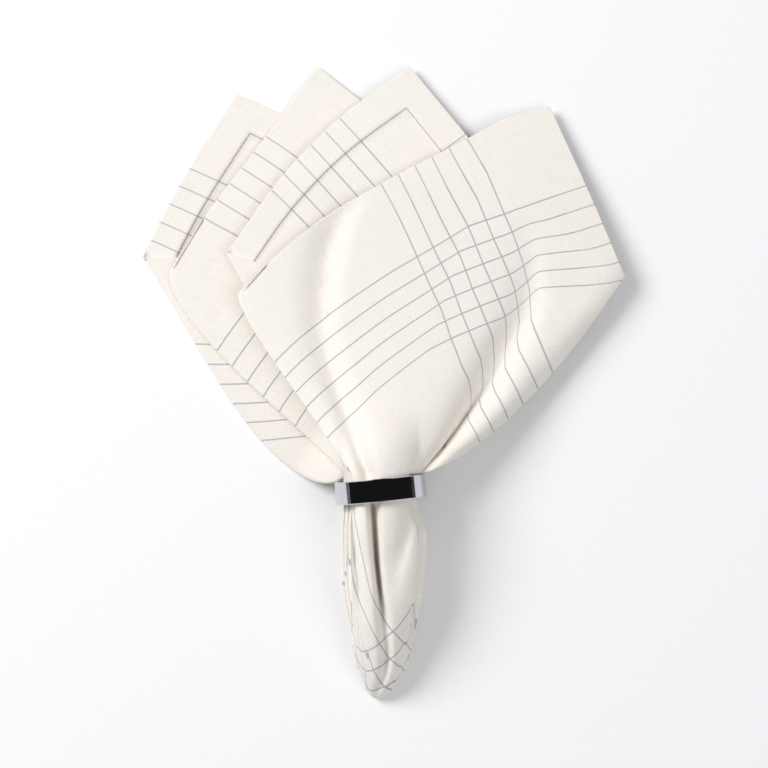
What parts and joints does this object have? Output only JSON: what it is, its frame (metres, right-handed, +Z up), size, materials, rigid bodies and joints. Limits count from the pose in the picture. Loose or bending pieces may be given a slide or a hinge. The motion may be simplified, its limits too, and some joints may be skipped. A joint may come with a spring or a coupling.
{
  "type": "folded napkin in a napkin ring",
  "caption": "Square checked cloth napkin folded in four and drawn through a round polished metal ring, its hemmed corners fanned out above the ring.",
  "frame": {"origin": "on the table under the middle of the napkin in its ring", "axes": "+Y from the tail through the ring towards the fanned corners, +Z up from the table, +X to the right as seen from above"},
  "size_m": [0.2656, 0.3486, 0.0497],
  "materials": {
    "napkin_cloth": "plain woven cotton and linen cloth, cream with fine grey-blue lines",
    "ring_metal": "mirror polished"
  },
  "bodies": {
    "root": {"napkin": "napkin_cloth", "ring": "ring_metal"}
  },
  "joints": []
}
